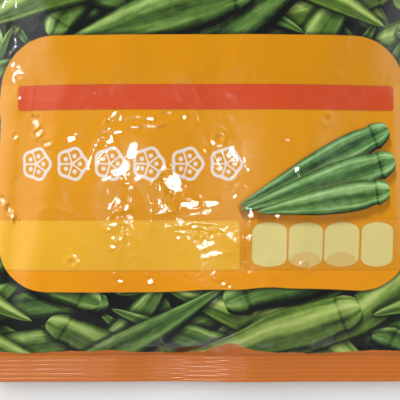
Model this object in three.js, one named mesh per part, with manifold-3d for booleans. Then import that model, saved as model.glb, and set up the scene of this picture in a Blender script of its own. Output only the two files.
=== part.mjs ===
// A sealed pillow bag of frozen whole okra, lying on its back with its printed front up.
//
// The bag is one piece of plastic film: a tube closed along the middle of its back by a lap seam,
// and pressed flat and crimped in a band at each end. It holds the loose pods that give it its lumps.
//
// Millimetres. The origin is the middle of the bag's footprint, on the surface it lies on.
// X runs across the front, Y runs up the print to the top seal, Z comes out of the front.

import * as THREE from "three";
import { mergeVertices } from "three/addons/utils/BufferGeometryUtils.js";
import Module from "manifold-3d";

// The film bag
const LAY_FLAT_WIDTH = 208; // the tube pressed flat, fold to fold
const FILLED_LENGTH = 256; // cut edge to cut edge, once it is filled
const SEAL_BAND = 12; // crimped band at each end
const SEAL_HEIGHT = 7; // of the bands above the surface
const FILL_HEIGHT = 41; // top of the smooth filled form
const SIDE_FOLD_HEIGHT = 14.5; // of the side folds at the middle of the bag
const FILM = 0.6; // wall, about ten times the real film's
const LAP_SEAM_SHARE = 0.055; // half the lap seam, as a share of the bag's half width
const FLAT_BACK_SHARE = 0.66; // of the half width that lies flat on the surface
const BACK_RISE = 35; // length over which the back lifts from the surface to a seal

// Needle holes in the front that let air out, as [x, y]
const VENTS = [
  [6.6, -19.6],
  [52.1, -11.3],
  [-57.8, -73.2],
  [44.4, -75.0],
];
const VENT_RADIUS = 0.8;

// The pods
const POD_LAYERS = [
  { columns: 7, spacing: 24, height: 12, turn: 0.45 },
  { columns: 6, spacing: 26, height: 34, turn: 0.6 },
];
const POD_LENGTH = [86, 104];
const POD_RADIUS = [9.0, 10.2];
const POD_BEND = [1, 5];
const POD_RIBS = 5;
const POD_GAP = 0.4; // kept round every pod
const POD_SEED = 1;
// Rings of a pod from its cut stem to its tip: share of length, share of radius, depth of the grooves
const POD_RINGS = [
  [0.0, 0.36, 0.0],
  [0.045, 0.36, 0.0],
  [0.06, 0.68, 0.03],
  [0.1, 0.96, 0.04],
  [0.115, 0.88, 0.08],
  [0.22, 1.0, 0.1],
  [0.4, 0.95, 0.11],
  [0.58, 0.8, 0.11],
  [0.75, 0.55, 0.1],
  [0.88, 0.3, 0.08],
  [0.97, 0.12, 0.04],
];

// The grid that the film is made on
const COLUMNS = 30;
const CAVITY_ROWS = 28;

const HALF_LENGTH = FILLED_LENGTH / 2;
const HALF_CAVITY = HALF_LENGTH - SEAL_BAND;

const wasm = await Module();
wasm.setup();

const clamp = (v, low, high) => Math.min(high, Math.max(low, v));
const smooth = (v) => v * v * (3 - 2 * v);
const mix = (a, b, share) => a + (b - a) * share;

function seeded(seed) {
  let state = seed;
  return () => {
    state = (state + 0x6d2b79f5) | 0;
    let t = Math.imul(state ^ (state >>> 15), 1 | state);
    t = (t + Math.imul(t ^ (t >>> 7), 61 | t)) ^ t;
    return ((t ^ (t >>> 14)) >>> 0) / 4294967296;
  };
}

// The smooth form of the filled bag

const fullness = (y) => (1 - clamp(Math.abs(y) / HALF_CAVITY, 0, 1) ** 2.6) ** 0.85;

const topLine = (y) => mix(SEAL_HEIGHT, FILL_HEIGHT, fullness(y));

function backLine(y) {
  const fromSeal = clamp((HALF_CAVITY - Math.abs(y)) / BACK_RISE, 0, 1);
  return SEAL_HEIGHT * (1 - smooth(fromSeal));
}

// The film hardly stretches, so the bag is narrower where it is thicker.
function halfWidth(y) {
  const thickness = topLine(y) - backLine(y);
  return (2 * LAY_FLAT_WIDTH - (Math.PI - 2) * thickness) / 4;
}

function sideFold(y) {
  return mix(SEAL_HEIGHT, SIDE_FOLD_HEIGHT, fullness(y));
}

// The sealed bands wave a little along their length, and each end in its own way.
function sealWave(x, y) {
  const end = y > 0 ? 1.3 : 0;
  return 1.2 * Math.sin(x / 17 + end) + 0.7 * Math.sin(x / 9.5 + 2 * end);
}

// Pleats run into the front from each seal and die out within about 40 mm.
function pleats(x, y) {
  const reach = (HALF_CAVITY - Math.abs(y)) / 10;
  if (reach <= 0) return 0;
  const end = y > 0 ? 2.1 : 0;
  const wave = Math.sin(x / 8.5 + 0.6 + end) + 0.8 * Math.sin(x / 14 + 2.2 + end);
  const across = 1 - (x / halfWidth(y)) ** 2;
  return 1.1 * wave * reach * Math.exp(1 - reach) * across;
}

// How much of the seal's wave is left at y
function sealShare(y) {
  return Math.exp(-Math.max(0, HALF_CAVITY - Math.abs(y)) / 9);
}

function smoothFront(x, y) {
  const u = clamp(Math.abs(x) / halfWidth(y), 0, 1);
  const dome = Math.sqrt(1 - u ** 2.4);
  const height = mix(sideFold(y), topLine(y), dome);
  return height + FILM + sealWave(x, y) * sealShare(y) + pleats(x, y);
}

function smoothBack(x, y) {
  const u = clamp(Math.abs(x) / halfWidth(y), 0, 1);
  const round = clamp((u - FLAT_BACK_SHARE) / (1 - FLAT_BACK_SHARE), 0, 1);
  const bowl = Math.sqrt(1 - round ** 2.2);
  const height = mix(sideFold(y), backLine(y), bowl);
  const lifted = height - FILM + sealWave(x, y) * sealShare(y);
  return Math.max(0, lifted);
}

function slopeFactor(height, x, y) {
  const step = 2;
  const across = (height(x + step, y) - height(x - step, y)) / (2 * step);
  const along = (height(x, y + step) - height(x, y - step)) / (2 * step);
  return Math.min(2.5, Math.hypot(1, across, along));
}

// The pods, settled into the bag

function podRadius(share) {
  for (let k = 1; k < POD_RINGS.length; k++) {
    const [s0, r0] = POD_RINGS[k - 1];
    const [s1, r1] = POD_RINGS[k];
    if (share <= s1) return mix(r0, r1, (share - s0) / (s1 - s0));
  }
  return POD_RINGS.at(-1)[1];
}

const BALLS = 21; // a pod is tested as a row of balls along its bent middle line
const LONGEST_MOVE = 1; // in one step of the settling
const ROUNDS = 400;
const SIDE_MARGIN = 5; // between a pod and a side fold
const END_MARGIN = 7; // between a pod and a seal
const BALL_SHARES = Array.from({ length: BALLS }, (_, k) => k / (BALLS - 1));
const BALL_RADII = BALL_SHARES.map(podRadius);

// The pods start in two loose layers of two rows, pointing either way and roughly along the bag.
function startingPods() {
  const random = seeded(POD_SEED);
  const between = ([low, high]) => mix(low, high, random());
  const pods = [];
  for (const { columns, spacing, height, turn } of POD_LAYERS) {
    for (let n = 0; n < 2 * columns; n++) {
      const middle = new THREE.Vector3(
        ((n % columns) - (columns - 1) / 2) * spacing,
        (n < columns ? -1 : 1) * mix(46, 54, random()),
        height,
      );
      const flip = random() < 0.5 ? Math.PI : 0;
      const angle = Math.PI / 2 + flip + turn * (2 * random() - 1);
      const length = between(POD_LENGTH);
      const half = new THREE.Vector3(Math.cos(angle), Math.sin(angle), 0);
      half.multiplyScalar(length / 2);
      pods.push({
        stem: middle.clone().sub(half),
        tip: middle.clone().add(half),
        length,
        radius: between(POD_RADIUS),
        bend: between(POD_BEND) * (random() < 0.5 ? -1 : 1),
        roll: random() * Math.PI,
      });
    }
  }
  return pods;
}

// The pod's own axes: along it, the way it bends (level), and up
function podAxes(pod) {
  const along = pod.tip.clone().sub(pod.stem).normalize();
  const side = new THREE.Vector3(0, 0, 1).cross(along).normalize();
  const up = along.clone().cross(side);
  return { along, side, up };
}

const bow = (share) => 4 * share * (1 - share);

function placeBalls(pod) {
  const { side } = podAxes(pod);
  pod.balls = BALL_SHARES.map((share, k) => ({
    share,
    at: pod.stem.clone().lerp(pod.tip, share).addScaledVector(side, pod.bend * bow(share)),
    radius: BALL_RADII[k] * pod.radius + POD_GAP,
  }));
}

// Moves the spot of the pod at share by the given vector, by moving its two ends.
function nudge(pod, share, move) {
  const stemPart = 1 - share;
  const whole = stemPart * stemPart + share * share;
  pod.stem.addScaledVector(move, stemPart / whole);
  pod.tip.addScaledVector(move, share / whole);
}

function keepLength(pod) {
  const middle = pod.stem.clone().add(pod.tip).multiplyScalar(0.5);
  const half = pod.tip.clone().sub(pod.stem).setLength(pod.length / 2);
  pod.stem.copy(middle).sub(half);
  pod.tip.copy(middle).add(half);
}

function pushPodsApart(pods) {
  const move = new THREE.Vector3();
  let deepest = 0;
  pods.forEach((a, i) => {
    for (const b of pods.slice(i + 1)) {
      let worst = 0;
      let pair = null;
      for (const p of a.balls) {
        for (const q of b.balls) {
          const overlap = p.radius + q.radius - p.at.distanceTo(q.at);
          if (overlap > worst) {
            worst = overlap;
            pair = [p, q];
          }
        }
      }
      if (!pair) continue;
      deepest = Math.max(deepest, worst);
      move.copy(pair[0].at).sub(pair[1].at).setLength(Math.min(worst / 2, LONGEST_MOVE));
      nudge(a, pair[0].share, move);
      nudge(b, pair[1].share, move.negate());
      placeBalls(a);
      placeBalls(b);
    }
  });
  return deepest;
}

// Moves the pod by its ball that is furthest out of the bag, and returns how far out that was.
// The bag is taken to be slack times as thick as it is.
function keepInBag(pod, slack) {
  let furthest = 0;
  let share = 0;
  const move = new THREE.Vector3();
  for (const ball of pod.balls) {
    const { x, y, z } = ball.at;
    const floor = smoothBack(x, y) + 2 * FILM + ball.radius * slopeFactor(smoothBack, x, y);
    const roof = smoothFront(x, y) - 2 * FILM - ball.radius * slopeFactor(smoothFront, x, y);
    const spare = (slack - 1) * (smoothFront(x, y) - smoothBack(x, y));
    const [low, high] = [floor, roof + spare];
    const middle = (low + high) / 2;
    const sideways = halfWidth(y) - SIDE_MARGIN - ball.radius;
    const endways = HALF_CAVITY - END_MARGIN - ball.radius;
    // Where the bag is too thin for the pod, the pod slides towards the middle.
    const tight = Math.max(0, low - high);
    const inward = new THREE.Vector3(
      clamp(x, -sideways, sideways) - x - (1.5 * tight * x) / LAY_FLAT_WIDTH,
      clamp(y, -endways, endways) - y - (1.5 * tight * y) / FILLED_LENGTH,
      tight > 0 ? middle - z : clamp(z, low, high) - z,
    );
    if (inward.length() > furthest) {
      furthest = inward.length();
      share = ball.share;
      move.copy(inward);
    }
  }
  if (furthest > 0) nudge(pod, share, move.clampLength(0, LONGEST_MOVE));
  return furthest;
}

function settledPods() {
  const pods = startingPods();
  pods.forEach(placeBalls);
  let deepest = 0;
  for (let round = 0; round < ROUNDS; round++) {
    const slack = mix(2, 1, Math.min(1, round / (0.5 * ROUNDS)));
    deepest = pushPodsApart(pods);
    for (const pod of pods) {
      for (let again = 0; again < 3; again++) {
        const out = keepInBag(pod, slack);
        keepLength(pod);
        placeBalls(pod);
        if (again === 2) deepest = Math.max(deepest, out);
      }
    }
  }
  if (deepest > POD_GAP) throw new Error(`pods still overlap by ${deepest.toFixed(2)} mm`);
  return pods;
}

function podGeometry({ length, radius, bend, roll }) {
  const sides = 2 * POD_RIBS;
  const positions = [0, 0, 0];
  const triangles = [];
  for (const [share, size, groove] of POD_RINGS) {
    const lean = Math.atan2(bend * 4 * (1 - 2 * share), length);
    for (let k = 0; k < sides; k++) {
      const angle = roll + (2 * Math.PI * k) / sides;
      const r = radius * size * (k % 2 ? 1 - groove : 1);
      const out = r * Math.cos(angle);
      positions.push(
        share * length - out * Math.sin(lean),
        bend * bow(share) + out * Math.cos(lean),
        r * Math.sin(angle),
      );
    }
  }
  positions.push(length, 0, 0);
  const ring = (n, k) => 1 + n * sides + (k % sides);
  const last = POD_RINGS.length - 1;
  const tip = 1 + POD_RINGS.length * sides;
  for (let k = 0; k < sides; k++) {
    triangles.push(0, ring(0, k + 1), ring(0, k));
    for (let n = 0; n < last; n++) {
      triangles.push(ring(n, k), ring(n, k + 1), ring(n + 1, k + 1));
      triangles.push(ring(n, k), ring(n + 1, k + 1), ring(n + 1, k));
    }
    triangles.push(tip, ring(last, k), ring(last, k + 1));
  }
  const geometry = new THREE.BufferGeometry();
  geometry.setAttribute("position", new THREE.Float32BufferAttribute(positions, 3));
  geometry.setIndex(triangles);
  geometry.computeVertexNormals();
  return geometry;
}

// The film

// Columns crowd towards the side folds, and a pair of them edges the lap seam.
function columnShares() {
  const shares = [];
  for (let i = 0; i <= COLUMNS; i++) {
    const t = (2 * i) / COLUMNS - 1;
    const share = 0.5 * t + 0.5 * Math.sin((Math.PI * t) / 2);
    if (i * 2 === COLUMNS) shares.push(-LAP_SEAM_SHARE, LAP_SEAM_SHARE);
    else shares.push(share);
  }
  return shares;
}

// Rows crowd towards the seals, and each sealed band is one row deep.
function rowPlaces() {
  const places = [-HALF_LENGTH];
  for (let j = 0; j <= CAVITY_ROWS; j++) {
    const t = (2 * j) / CAVITY_ROWS - 1;
    places.push(HALF_CAVITY * (0.6 * t + 0.4 * Math.sin((Math.PI * t) / 2)));
  }
  places.push(HALF_LENGTH);
  return places;
}

// Height that the film's outside needs at (x, y) to clear every pod
function podsUnder(pods, x, y) {
  const clear = FILM + 1.2;
  let height = 0;
  for (const pod of pods) {
    for (const ball of pod.balls) {
      const away = Math.hypot(x - ball.at.x, y - ball.at.y);
      const reach = ball.radius + clear;
      if (away < reach) {
        height = Math.max(height, ball.at.z + Math.sqrt(reach * reach - away * away));
      }
    }
  }
  return height;
}

// The front is drawn over the pods like a skin: it lies on the high ones and bridges the hollows.
function drapedFront(pods, shares, places) {
  const around = [-4, 0, 4];
  const place = (i, j) => [shares[i] * halfWidth(places[j]), places[j]];
  const floor = places.map((_, j) =>
    shares.map((_, i) => {
      const [x, y] = place(i, j);
      const heights = around.flatMap((dx) =>
        around.map((dy) => podsUnder(pods, x + dx, y + dy)),
      );
      return Math.max(...heights, smoothFront(x, y) - 3);
    }),
  );
  const edge = (i, j) =>
    i === 0 || i === shares.length - 1 || j <= 1 || j >= places.length - 2;
  let heights = places.map((_, j) =>
    shares.map((_, i) => {
      const [x, y] = place(i, j);
      return edge(i, j) ? smoothFront(x, y) : floor[j][i];
    }),
  );
  const pulls = 14;
  for (let n = 0; n < pulls; n++) {
    heights = heights.map((row, j) =>
      row.map((height, i) => {
        if (edge(i, j)) return height;
        const near = row[i - 1] + row[i + 1] + heights[j - 1][i] + heights[j + 1][i];
        return Math.max(floor[j][i], mix(height, near / 4, 0.8));
      }),
    );
  }
  return heights;
}

// A closed solid between an upper and a lower sheet on the same grid
function sheetSolid(upper, lower) {
  const rows = upper.length;
  const columns = upper[0].length;
  const positions = [...upper.flat(), ...lower.flat()].flat();
  const top = (i, j) => j * columns + i;
  const bottom = (i, j) => rows * columns + top(i, j);
  const triangles = [];
  const quad = (a, b, c, d) => triangles.push(a, b, c, a, c, d);
  for (let j = 0; j + 1 < rows; j++) {
    for (let i = 0; i + 1 < columns; i++) {
      quad(top(i, j), top(i + 1, j), top(i + 1, j + 1), top(i, j + 1));
      quad(bottom(i, j + 1), bottom(i + 1, j + 1), bottom(i + 1, j), bottom(i, j));
    }
    const right = columns - 1;
    quad(bottom(0, j), top(0, j), top(0, j + 1), bottom(0, j + 1));
    quad(bottom(right, j + 1), top(right, j + 1), top(right, j), bottom(right, j));
  }
  for (let i = 0; i + 1 < columns; i++) {
    const far = rows - 1;
    quad(bottom(i + 1, 0), top(i + 1, 0), top(i, 0), bottom(i, 0));
    quad(bottom(i, far), top(i, far), top(i + 1, far), bottom(i + 1, far));
  }
  return new wasm.Manifold(
    new wasm.Mesh({
      numProp: 3,
      vertProperties: new Float32Array(positions),
      triVerts: new Uint32Array(triangles),
    }),
  );
}

function solidOf(geometry) {
  const bare = geometry.clone();
  bare.deleteAttribute("normal");
  bare.deleteAttribute("uv");
  const merged = mergeVertices(bare, 1e-4);
  return new wasm.Manifold(
    new wasm.Mesh({
      numProp: 3,
      vertProperties: merged.attributes.position.array,
      triVerts: new Uint32Array(merged.index.array),
    }),
  );
}

function geometryOf(solid) {
  const { vertProperties, triVerts } = solid.getMesh();
  const indexed = new THREE.BufferGeometry();
  indexed.setAttribute("position", new THREE.BufferAttribute(vertProperties, 3));
  indexed.setIndex(new THREE.BufferAttribute(triVerts, 1));
  indexed.computeVertexNormals();
  return indexed;
}

function filmGeometry(pods) {
  const shares = columnShares();
  const places = rowPlaces();
  const front = drapedFront(pods, shares, places);
  const back = places.map((y) => shares.map((u) => smoothBack(u * halfWidth(y), y)));
  const point = (i, j, z) => [shares[i] * halfWidth(places[j]), places[j], z];
  const grid = (heights) => heights.map((row, j) => row.map((z, i) => point(i, j, z)));
  const outer = sheetSolid(grid(front), grid(back));

  // The hollow stops one column short of the side folds and one row short of the seals.
  const steepness = (heights, i, j) => {
    const dx = (shares[i + 1] - shares[i - 1]) * halfWidth(places[j]);
    const dy = places[j + 1] - places[j - 1];
    const across = (heights[j][i + 1] - heights[j][i - 1]) / dx;
    const along = (heights[j + 1][i] - heights[j - 1][i]) / dy;
    return Math.min(2.2, Math.hypot(1, across, along));
  };
  const ceiling = [];
  const floor = [];
  for (let j = 2; j < places.length - 2; j++) {
    const high = [];
    const low = [];
    for (let i = 1; i < shares.length - 1; i++) {
      const lapped = Math.abs(shares[i]) <= LAP_SEAM_SHARE ? 2 : 1;
      high.push(point(i, j, front[j][i] - FILM * steepness(front, i, j)));
      low.push(point(i, j, back[j][i] + FILM * lapped * steepness(back, i, j)));
    }
    ceiling.push(high);
    floor.push(low);
  }
  let film = outer.subtract(sheetSolid(ceiling, floor));

  const needle = new THREE.CylinderGeometry(VENT_RADIUS, VENT_RADIUS, 8, 6);
  needle.rotateX(Math.PI / 2);
  for (const [x, y] of VENTS) {
    const hole = needle.clone().translate(x, y, smoothFront(x, y));
    film = film.subtract(solidOf(hole));
  }
  return geometryOf(film);
}

// The bag

const printedFilm = new THREE.MeshStandardMaterial({
  color: 0xe2962a,
  roughness: 0.28,
  metalness: 0,
});
const frostedPod = new THREE.MeshStandardMaterial({
  color: 0x5f8f46,
  roughness: 0.6,
  metalness: 0,
});

const bag = new THREE.Group();
bag.name = "okra_bag";

const pods = settledPods();
const film = new THREE.Mesh(filmGeometry(pods), printedFilm);
film.name = "film_bag";
bag.add(film);

const contents = new THREE.Group();
contents.name = "contents";
pods.forEach((pod, n) => {
  const mesh = new THREE.Mesh(podGeometry(pod), frostedPod);
  const { along, side, up } = podAxes(pod);
  mesh.name = `okra_pod_${String(n + 1).padStart(2, "0")}`;
  mesh.position.copy(pod.stem);
  mesh.quaternion.setFromRotationMatrix(new THREE.Matrix4().makeBasis(along, side, up));
  contents.add(mesh);
});
bag.add(contents);

export default bag;
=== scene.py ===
# A sealed bag of frozen okra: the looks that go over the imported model, and a small studio.
#
# Objects are in metres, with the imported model's axes: X across the printed front, Y up the print
# towards the top seal, Z out of the front. The film and its print are worked out in millimetres.

import math

import bmesh
import bpy
import numpy as np
from bpy.props import FloatProperty, FloatVectorProperty, IntProperty, PointerProperty
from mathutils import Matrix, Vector
from mathutils.bvhtree import BVHTree


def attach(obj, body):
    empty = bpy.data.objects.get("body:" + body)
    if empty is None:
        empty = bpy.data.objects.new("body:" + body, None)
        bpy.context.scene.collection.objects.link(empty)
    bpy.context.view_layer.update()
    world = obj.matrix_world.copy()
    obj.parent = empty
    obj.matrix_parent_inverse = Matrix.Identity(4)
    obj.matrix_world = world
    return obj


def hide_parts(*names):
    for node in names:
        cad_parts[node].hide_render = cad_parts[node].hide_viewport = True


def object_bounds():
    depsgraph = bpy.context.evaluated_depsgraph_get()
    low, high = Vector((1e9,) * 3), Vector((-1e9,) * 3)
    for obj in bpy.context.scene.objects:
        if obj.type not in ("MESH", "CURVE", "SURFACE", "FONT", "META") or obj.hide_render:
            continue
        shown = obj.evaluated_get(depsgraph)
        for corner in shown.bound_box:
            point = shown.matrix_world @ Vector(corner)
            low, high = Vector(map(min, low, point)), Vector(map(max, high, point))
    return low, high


bl_info = {
    "name": "Bag of Frozen Okra",
    "version": (1, 0, 0),
    "blender": (4, 5, 0),
    "location": "3D View > Sidebar > Okra Bag",
    "description": "Models a printed film bag of frozen okra over its packed solids",
    "category": "Object",
}

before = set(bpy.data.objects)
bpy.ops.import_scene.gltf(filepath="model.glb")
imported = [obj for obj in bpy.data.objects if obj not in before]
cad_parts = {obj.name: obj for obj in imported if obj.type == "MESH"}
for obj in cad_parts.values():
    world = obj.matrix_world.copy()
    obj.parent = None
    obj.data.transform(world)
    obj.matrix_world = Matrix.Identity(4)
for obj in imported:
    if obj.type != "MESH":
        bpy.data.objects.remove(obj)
CAD_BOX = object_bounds()
POD_NODES = sorted(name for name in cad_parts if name.startswith("okra_pod"))

MM = 0.001

# The filled bag, as in its solids
LAY_FLAT_WIDTH = 208.0
HALF_FLAT = LAY_FLAT_WIDTH / 2
HALF_LENGTH = 128.0
SEAL_BAND = 12.0
HALF_CAVITY = HALF_LENGTH - SEAL_BAND
SEAL_HEIGHT = 7.0
FILL_HEIGHT = 41.0
SIDE_FOLD_HEIGHT = 14.5
FLAT_BACK_SHARE = 0.66
BACK_RISE = 35.0
SEAL_START = 124.2  # where the sealed bands start, as film from the middle
SKIN = 0.6  # how far the film stands out from the filled form
SEAL_SKIN = 0.3  # and how far it does in the sealed bands
CRIMP_STEP = 2.0  # from rib to rib of the sealed bands
CRIMP_RISE = 0.12  # and how far the ribs stand out

# Needle holes in the front
VENTS = [(6.6, -19.6), (52.1, -11.3), (-57.8, -73.2), (44.4, -75.0)]

# Folds pressed into the front: points on the flat film, width, and rise
FOLDS = [
    ([(-39, -8), (-45, -17), (-48, -23), (-52, -33)], 1.3, 0.55),
    ([(-36, -17), (-42, -22), (-50, -32)], 1.5, 0.5),
    ([(-33, -15), (-17, -13.5), (-7, -10)], 1.1, 0.4),
    ([(-37, -8.5), (-36, -11.5), (-30, -10), (-23, -11.5), (-18, -9.5)], 1.0, 0.35),
    ([(-21, -53), (-11, -50.5), (-6, -47), (7, -47)], 1.3, 0.5),
    ([(-96, -45), (-91, -48), (-86, -56)], 1.4, 0.5),
    ([(-32, -48), (-39, -53)], 1.0, 0.4),
    ([(-36, -55.5), (-44, -60.5)], 1.5, 0.5),
    ([(-36, -62.5), (-42, -67)], 1.3, 0.45),
    ([(-1, -24), (5, -27), (8, -32), (12, -35)], 1.0, 0.3),
    ([(21, -50), (20, -62)], 1.5, 0.5),
    ([(40, -31), (43, -37)], 1.2, 0.35),
    ([(-76, -8), (-74, -14), (-77, -19), (-66, -23.5)], 1.6, 0.4),
    ([(-84, -2.5), (-64, -4.5)], 1.2, 0.25),
    ([(-59, -15), (-55, -25), (-55, -30)], 1.4, 0.22),
    ([(-35, -36), (-33, -40), (-34.5, -50)], 1.2, 0.35),
    ([(-13, -59), (-5, -56), (5, -57), (11, -63)], 1.6, 0.3),
    ([(-8, -61), (-1, -62.5), (6, -59)], 1.3, 0.28),
    ([(-27, -79), (-24, -83), (-24.5, -88)], 1.2, 0.35),
    ([(-42, -87), (-39, -82.5), (-41, -79)], 1.1, 0.3),
    ([(-9, -79), (-1.5, -82)], 1.0, 0.3),
    ([(3, -80.5), (10.5, -85)], 1.2, 0.35),
    ([(-4, -6), (-2, -12.5)], 1.0, 0.25),
    ([(-84, -57), (-69, -49), (-56, -53)], 1.6, 0.2),
    ([(-6, 5), (0, -7)], 1.5, 0.2),
]

# Large soft lamps that the film doesn't mirror: place in metres, size, and power
SOFTBOXES = {
    "key": ((-1.2, 0.35, 0.8), 1.0, 12.9),
    "fill": ((1.25, -0.15, 0.8), 1.0, 7.5),
}

# Small lamps whose reflections sparkle in the film: place in metres, size, and power
GLINT_LAMPS = {
    "upper glint": ((-0.18, -0.185, 0.82), 0.085, 1.1),
    "side glint": ((-0.847, 0.29, 0.479), 0.06, 0.45),
    "lower glint": ((-0.015, -0.405, 0.84), 0.085, 0.5),
}

# Flat places between the folds, each tilted to mirror a lamp: middle, half sizes, and turn
FACETS = {
    "upper glint": [
        (-41.5, -20.5, 1.5, 3.6, -0.5), (-38.5, -17.5, 2.6, 1.0, 0.2), (-23.5, -11.5, 2.0, 1.2, 0.2),
        (-36.5, -10.5, 0.9, 2.4, 0.0), (4.5, -26, 1.6, 0.9, -0.6), (6, -31, 1.2, 1.0, 0.0),
        (0, -25, 1.4, 0.8, -0.6), (-51.5, -32.5, 1.4, 2.6, -0.3), (-35.5, -34.5, 1.4, 2.2, 0.1),
        (-34, -39, 1.3, 1.0, 0.0), (13.5, -45, 1.2, 1.0, 0.2), (-58.5, -20, 2.4, 1.6, 0.3),
        (-15.5, -9, 1.6, 0.8, 0.25), (-9, -11, 1.4, 1.0, 0.3), (-2.5, -11, 0.8, 2.0, 0.1),
    ],
    "side glint": [
        (-69.5, -22.5, 3.0, 1.4, 0.1), (-75.5, -13.5, 2.0, 3.4, 0.2), (-73.5, -17.5, 2.6, 1.5, 0.5),
        (-84, -2, 1.4, 1.1, -0.3), (-86, -19, 1.8, 1.2, 0.2),
    ],
    "lower glint": [
        (-13.5, -38.5, 4.6, 5.6, 0.5), (-17.5, -32.5, 1.8, 1.8, 0.0), (-6.5, -48.5, 4.6, 1.6, 0.25),
        (-19.5, -47.5, 1.2, 1.3, 0.0), (2.5, -47.5, 3.6, 1.1, 0.15), (-34.5, -49.5, 1.3, 2.6, -0.4),
        (-40.5, -57.5, 2.8, 1.2, 0.4), (-41, -67, 2.0, 1.5, 0.2), (-37, -63, 1.6, 1.2, 0.7),
        (20.5, -52, 1.4, 2.8, 0.1), (20, -62.5, 0.9, 2.4, 0.0), (32.5, -53.5, 1.5, 1.2, 0.0),
        (36, -20.5, 2.0, 0.9, -0.4),
        (-24.5, -83, 1.6, 1.8, 0.2), (8.5, -84, 1.8, 1.1, -0.4), (40.5, -33.5, 1.3, 2.0, -0.4),
        (-38, -83, 1.2, 1.7, 0.5), (-6, -80.5, 2.0, 0.9, -0.7),
    ],
}

# Rows of such flat places along a fold: points on the flat film, and half width
STREAKS = {
    "upper glint": [
        ([(-39, -8.5), (-43, -12.5), (-45.5, -17), (-48, -23), (-50, -28), (-52, -33.5)], 0.8),
        ([(-33, -15.5), (-24, -15), (-17, -13.5)], 0.6),
    ],
    "side glint": [([(-95.5, -45), (-91, -49.5), (-86, -56)], 1.6)],
}
STREAK_STEP = 6.5
FACET_MARGIN = 0.15  # what the film's smooth shading rounds off at a flat place's edge

# Patches of fine crinkles: middle and half sizes
CRINKLES = [
    (-2, -61, 17, 7), (-6, -47.5, 15, 4.5), (-36, -55, 8, 11), (-38, -83, 4, 5), (-24.5, -84, 5, 6),
    (-5.5, -81, 8, 3.5), (8.5, -84, 6, 3.5), (-17, -38, 9, 9), (-42, -20, 9, 12), (8, -30, 8, 8),
]

# Crumple over all the film, from coarse to fine: length of its waves, share of its depth, and seed
CRUMPLE = [(34, 1.0, 11), (17, 0.5, 12), (9, 0.22, 13)]

# Creases in random places, and gathers that run in from the seals
CREASE_LENGTHS = (6, 26)
CREASE_WIDTHS = (0.8, 2.2)
GATHER_ENDS = 96
GATHER_STEP = 7.5
GATHER_LENGTHS = (12, 40)
GATHER_WIDTHS = (1.6, 3.4)

# The floor in metres, just under the bag
FLOOR_SIZE = 6
FLOOR_HEIGHT = -0.0002


def mix(a, b, share):
    """From a at share 0 to b at share 1."""
    return a + (b - a) * share


def smooth(v):
    """A smooth step from 0 to 1."""
    v = np.clip(v, 0, 1)
    return v * v * (3 - 2 * v)


def camera_place():
    """Where the scene's camera stands, straight above the front."""
    settings = bpy.context.scene.okra_studio
    return Vector((*settings.frame_middle, CAD_BOX[1].z + settings.camera_height))


def colour(red, green, blue):
    """A linear colour from the red, green and blue of a screen, 0 to 255."""
    shares = [v / 255 for v in (red, green, blue)]
    return [v / 12.92 if v < 0.04045 else ((v + 0.055) / 1.055) ** 2.4 for v in shares]


# The smooth form of the filled bag


def fullness(y):
    """Share of the full height, from 1 in the middle to 0 at the seals."""
    return (1 - np.clip(np.abs(y) / HALF_CAVITY, 0, 1) ** 2.6) ** 0.85


def top_line(y):
    return mix(SEAL_HEIGHT, FILL_HEIGHT, fullness(y))


def back_line(y):
    return SEAL_HEIGHT * (1 - smooth((HALF_CAVITY - np.abs(y)) / BACK_RISE))


def half_width(y):
    return (2 * LAY_FLAT_WIDTH - (math.pi - 2) * (top_line(y) - back_line(y))) / 4


def side_fold(y):
    return mix(SEAL_HEIGHT, SIDE_FOLD_HEIGHT, fullness(y))


def seal_wave(x, y):
    """How far a sealed band waves up or down along itself."""
    end = np.where(y > 0, 1.3, 0)
    wave = 1.2 * np.sin(x / 17 + end) + 0.7 * np.sin(x / 9.5 + 2 * end)
    return wave * np.exp(-np.maximum(0, HALF_CAVITY - np.abs(y)) / 9)


def skin(y):
    return mix(SEAL_SKIN, SKIN, smooth((HALF_CAVITY - np.abs(y)) / 6))


def front_form(x, y):
    u = np.clip(np.abs(x) / half_width(y), 0, 1)
    return mix(side_fold(y), top_line(y) + skin(y), np.sqrt(1 - u**2.4))


def back_form(x, y):
    u = np.clip(np.abs(x) / half_width(y), 0, 1)
    bend = np.clip((u - FLAT_BACK_SHARE) / (1 - FLAT_BACK_SHARE), 0, 1)
    return mix(side_fold(y), back_line(y) - skin(y), np.sqrt(1 - bend**2.2))


def row_places(rows):
    """Y of rows at even steps of film along the bag, and their places along the film."""
    y = np.linspace(-HALF_LENGTH, HALF_LENGTH, 4001)
    steps = np.hypot(np.diff(y), np.diff(top_line(y)))
    along = np.concatenate([[0], np.cumsum(steps)])
    along -= along[-1] / 2
    places = np.linspace(along[0], along[-1], rows + 1)
    return np.interp(places, along, y), places


def column_places(y, form, columns):
    """X of columns at even steps of film from fold to fold, for every row."""
    shares = np.linspace(-1, 1, columns + 1)
    u = np.sin(np.linspace(0, math.pi / 2, 500))
    x = np.empty((len(y), columns + 1))
    for row, place in enumerate(y):
        across = u * half_width(place)
        steps = np.hypot(np.diff(across), np.diff(form(across, place)))
        travelled = np.concatenate([[0], np.cumsum(steps)])
        x[row] = np.sign(shares) * np.interp(np.abs(shares) * travelled[-1], travelled, across)
    return x, shares


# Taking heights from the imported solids


def tree_of(names):
    points, faces = [], []
    for name in names:
        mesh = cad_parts[name].data
        first = len(points)
        points += [vertex.co.copy() for vertex in mesh.vertices]
        faces += [[first + v for v in face.vertices] for face in mesh.polygons]
    return BVHTree.FromPolygons(points, faces)


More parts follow.
